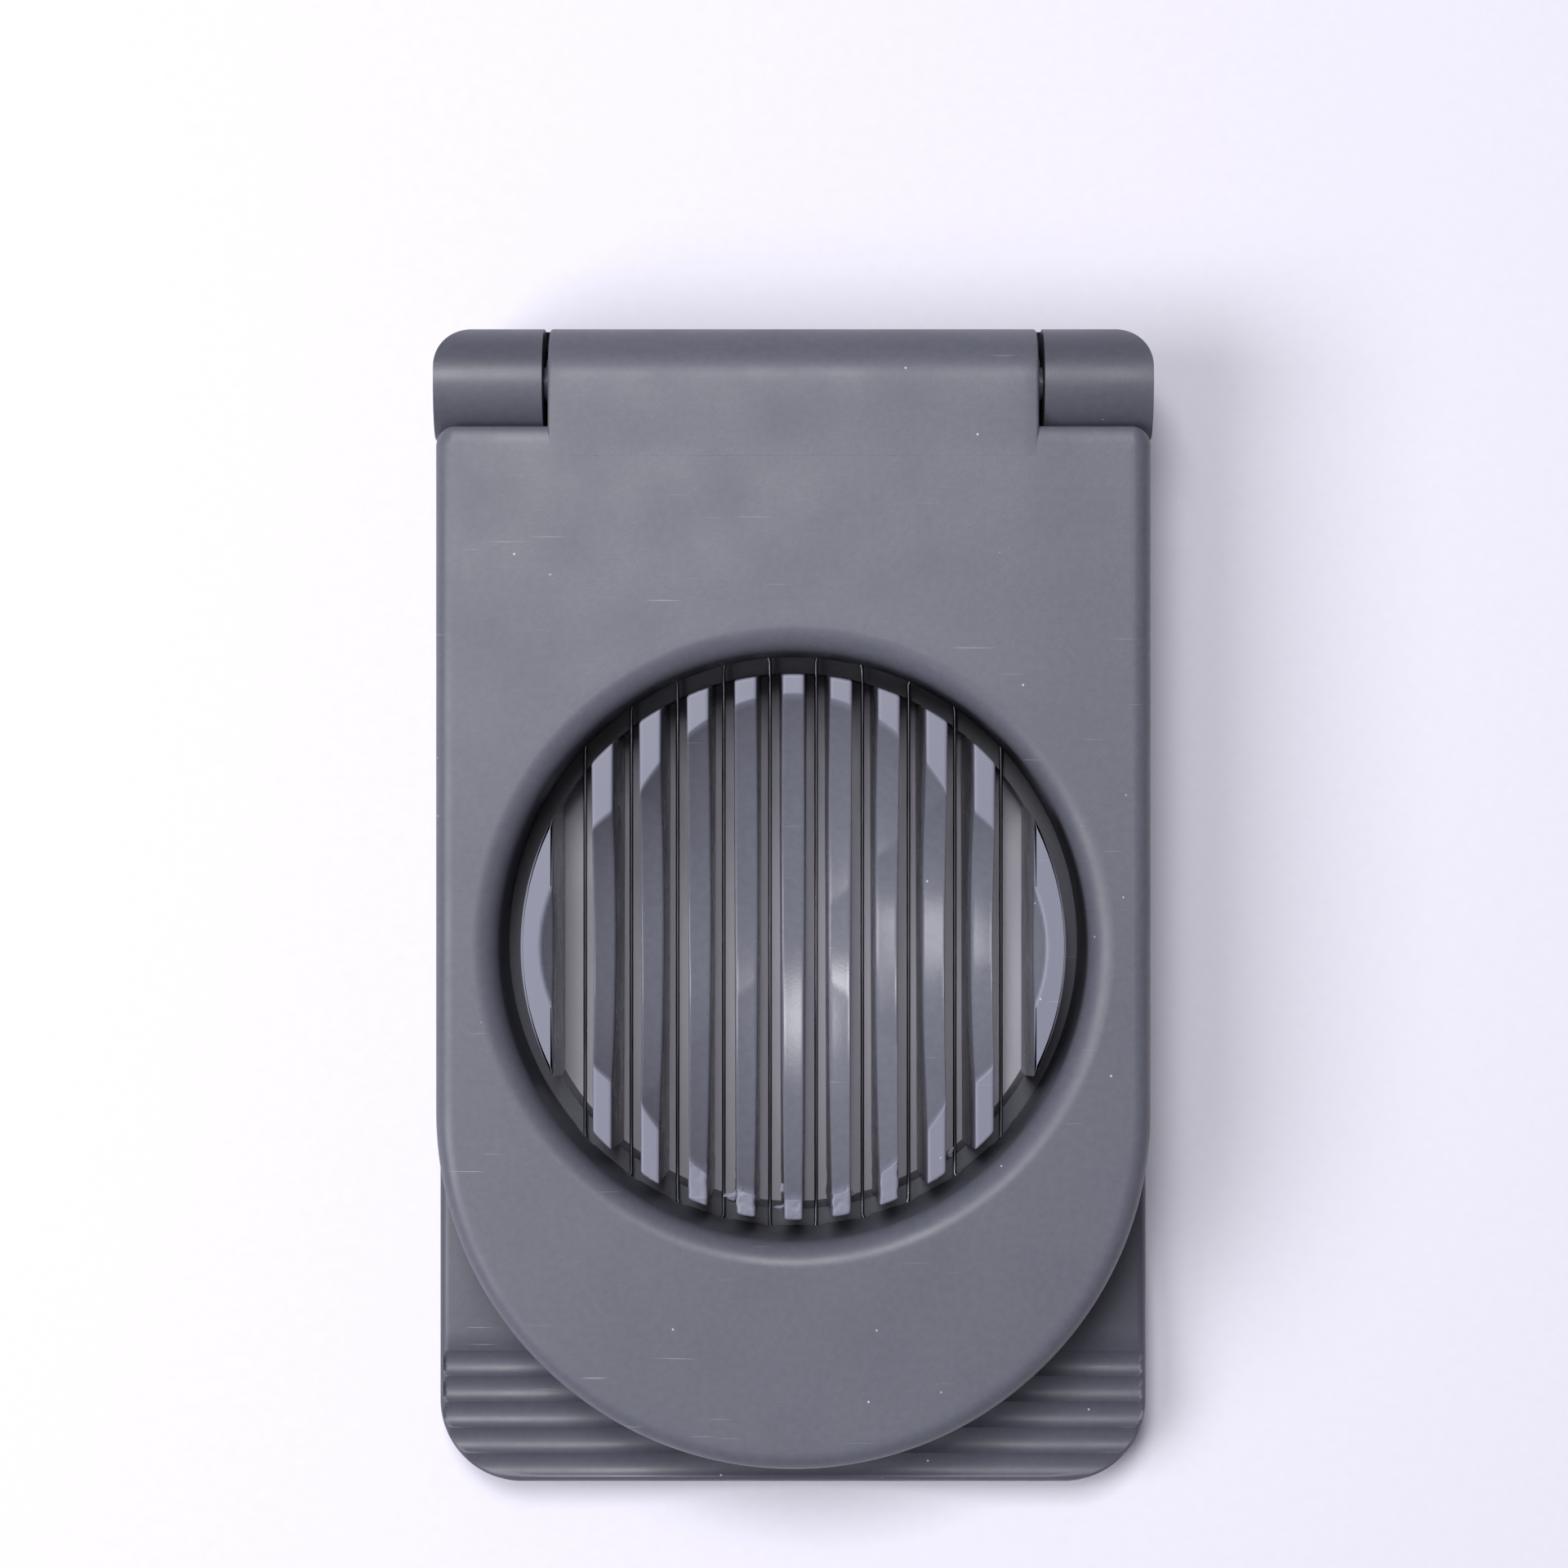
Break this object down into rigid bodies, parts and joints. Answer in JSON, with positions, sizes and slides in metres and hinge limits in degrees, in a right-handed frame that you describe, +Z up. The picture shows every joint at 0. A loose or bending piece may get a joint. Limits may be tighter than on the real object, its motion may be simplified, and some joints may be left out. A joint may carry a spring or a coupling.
{
  "type": "egg slicer",
  "caption": "Hinged moulded egg slicer: a rectangular base with a round cradle of upright bars, and a lid with a round hole crossed by taut wires that pass between the bars.",
  "frame": {"origin": "middle of the underside, at the height of the surface the slicer stands on", "axes": "+X to the right, +Y from the grip towards the hinge, +Z up; lid closed at rest"},
  "size_m": [0.086, 0.139, 0.0262],
  "materials": {
    "base_plastic": "fine satin moulded polypropylene, bluish mid grey",
    "lid_plastic": "fine satin moulded polypropylene, bluish mid grey",
    "wire_steel": "bright drawn stainless wire"
  },
  "bodies": {
    "base": {"base_deck": "base_plastic", "base_rear_wall": "base_plastic", "base_skirt": "base_plastic", "cradle_bar_1": "base_plastic", "cradle_bar_2": "base_plastic", "cradle_bar_3": "base_plastic", "cradle_bar_4": "base_plastic", "cradle_bar_5": "base_plastic", "cradle_bar_6": "base_plastic", "cradle_bar_7": "base_plastic", "cradle_bar_8": "base_plastic", "cradle_bar_9": "base_plastic", "cradle_ring": "base_plastic", "hinge_knuckle_left": "base_plastic", "hinge_knuckle_right": "base_plastic", "side_rest_left": "base_plastic", "side_rest_right": "base_plastic"},
    "lid": {"cutting_wire_01": "wire_steel", "cutting_wire_02": "wire_steel", "cutting_wire_03": "wire_steel", "cutting_wire_04": "wire_steel", "cutting_wire_05": "wire_steel", "cutting_wire_06": "wire_steel", "cutting_wire_07": "wire_steel", "cutting_wire_08": "wire_steel", "cutting_wire_09": "wire_steel", "cutting_wire_10": "wire_steel", "hinge_stud_left": "lid_plastic", "hinge_stud_right": "lid_plastic", "lid_hinge_barrel": "lid_plastic", "lid_hole_wall": "lid_plastic", "lid_plate": "lid_plastic", "lid_skirt": "lid_plastic", "wire_ledge_front": "lid_plastic", "wire_ledge_rear": "lid_plastic", "wire_pegs_front": "lid_plastic", "wire_pegs_rear": "lid_plastic"}
  },
  "joints": [
    {"name": "lid_hinge", "type": "hinge", "parent": "base", "child": "lid", "pos_m": [0, 0.063, 0.0197], "axis": [-1, 0, 0], "range_deg": [0, 125]}
  ]
}
